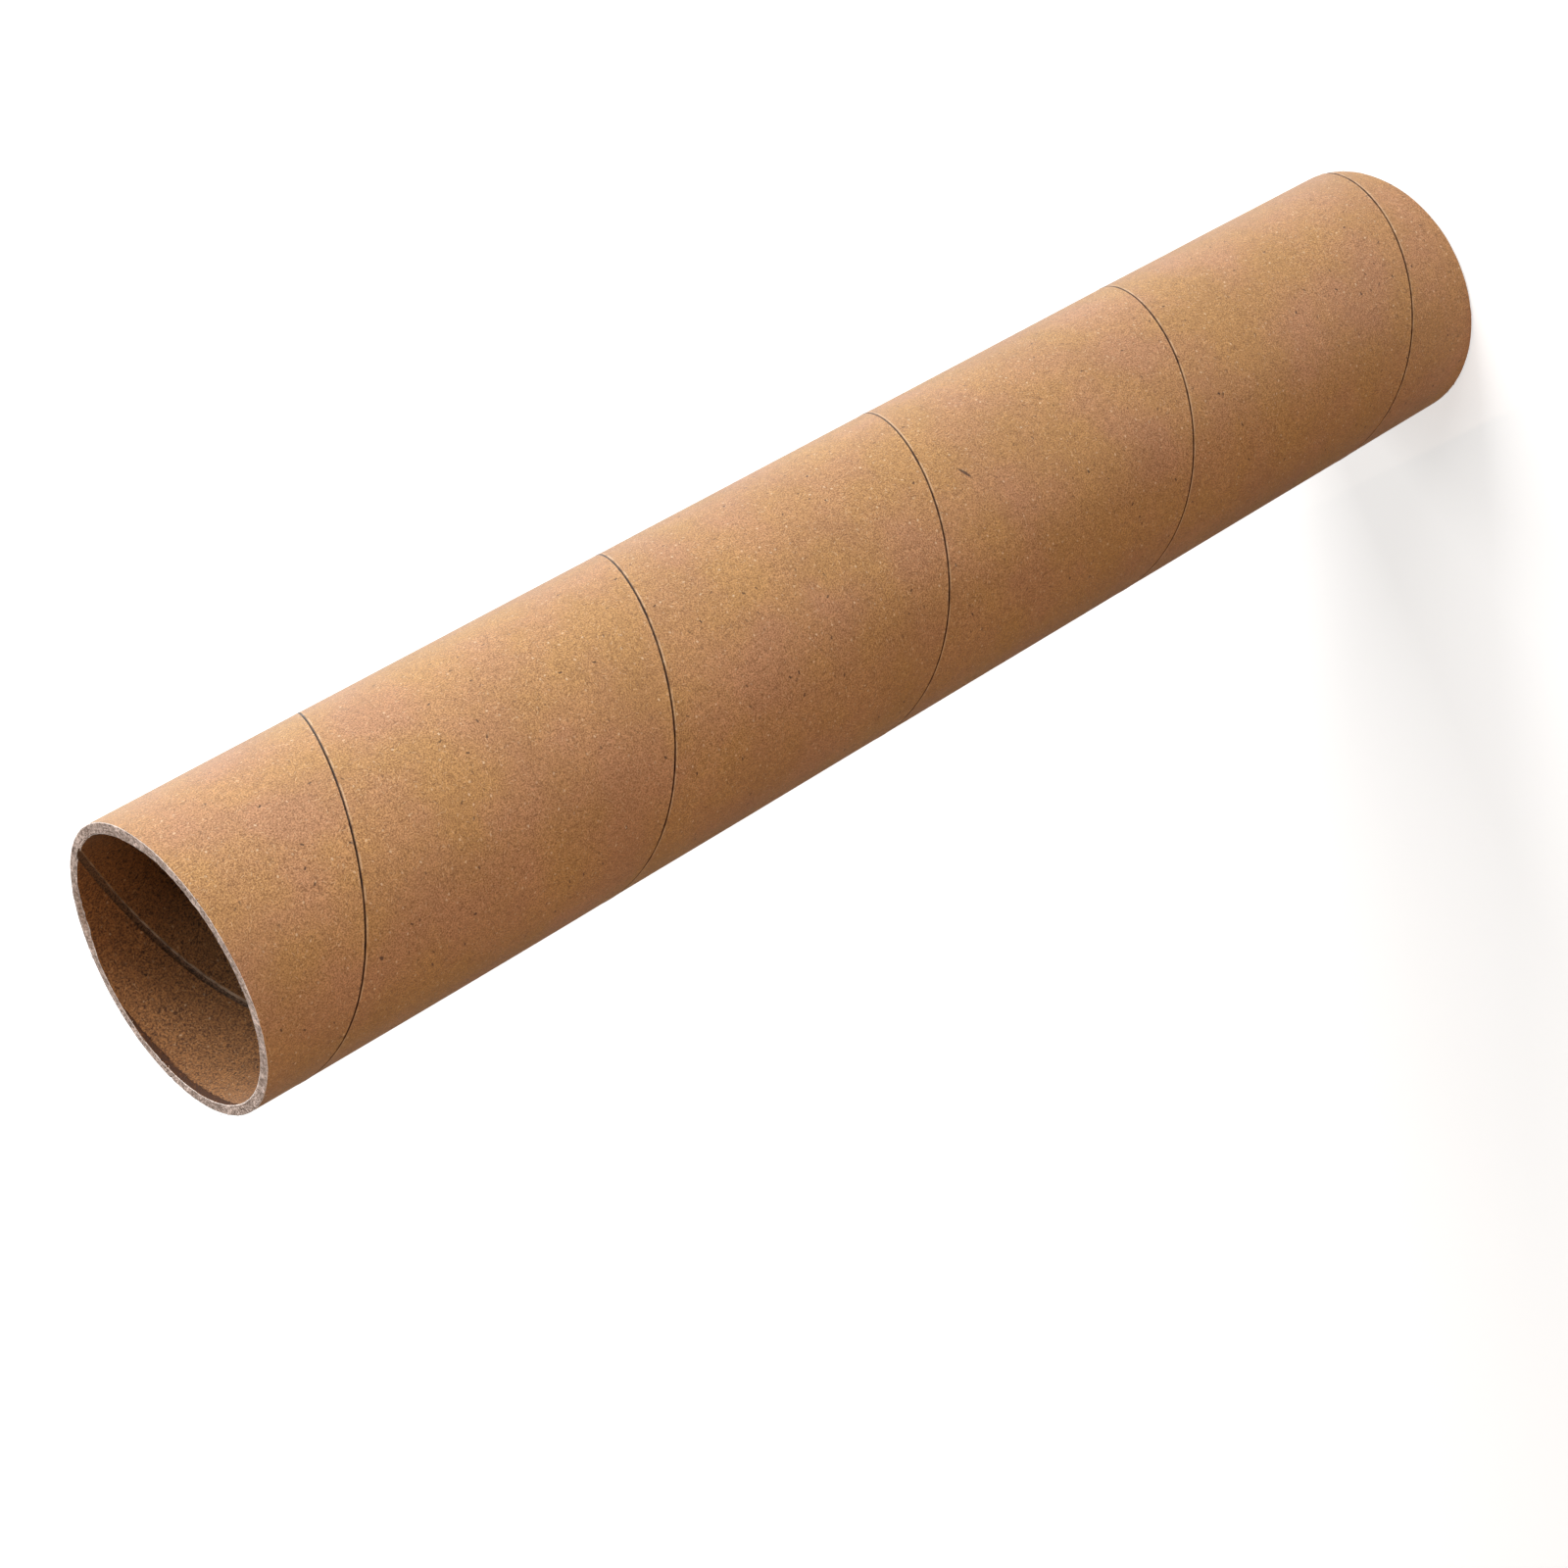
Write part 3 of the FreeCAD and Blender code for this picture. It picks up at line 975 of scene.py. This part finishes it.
world = bpy.data.worlds.new("studio")
bpy.context.scene.world = world
world.use_nodes = True
backdrop = world.node_tree.nodes["Background"]
backdrop.inputs["Color"].default_value = (1, 1, 1, 1)
strength = camera_share(world.node_tree) * 0.97 + 0.03
world.node_tree.links.new(strength.socket, backdrop.inputs["Strength"])

LIGHT_DISTANCE = 2.4
WHITE = (1.0, 1.0, 1.0)
WARM = (1.0, 0.72, 0.48)


def soft_box(name, azimuth, elevation, size, power, colour):
    """A square soft light that faces the middle of the tube, placed in degrees round it and above it."""
    light = bpy.data.lights.new(name, "AREA")
    light.shape = "SQUARE"
    light.size = size
    light.energy = power
    light.color = colour
    lamp = bpy.data.objects.new(name, light)
    bpy.context.scene.collection.objects.link(lamp)
    side, rise = math.radians(azimuth), math.radians(elevation)
    way = Vector((math.cos(side) * math.cos(rise), math.sin(side) * math.cos(rise), math.sin(rise)))
    lamp.location = Vector((0, 0, TUBE_LENGTH / 2)) + way * LIGHT_DISTANCE
    lamp.rotation_euler = way.to_track_quat("Z", "Y").to_euler()


soft_box("key box", 340, 21, 1.0, 53.5, WHITE)
soft_box("high box", 320, 50, 1.0, 20.5, WHITE)
soft_box("right box", 25, 14, 0.8, 24.5, WHITE)
soft_box("back box", 45, 8, 0.8, 16.0, WHITE)
soft_box("grazing box", 68, 8, 0.8, 9.0, WHITE)
soft_box("warm front card", 250, 15, 1.2, 13.5, WARM)
soft_box("warm left card", 205, 10, 1.2, 16.0, WARM)

camera = bpy.data.objects.new("camera", bpy.data.cameras.new("camera"))
bpy.context.scene.collection.objects.link(camera)
camera.data.lens = 78.236
camera.data.sensor_width = 36.0
camera.data.clip_start = 0.01
right = Vector((-0.49127508, -0.48089401, -0.72621604))
up = Vector((0.87003329, -0.23157538, -0.43521824))
ahead = Vector((-0.04112009, 0.84564401, -0.53216101))
camera.matrix_world = Matrix((right, up, -ahead)).transposed().to_4x4()
camera.matrix_world.translation = Vector((0, -518.585, 511.191)) * MM
bpy.context.scene.camera = camera
bpy.context.scene.view_settings.view_transform = "Standard"

low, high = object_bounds()
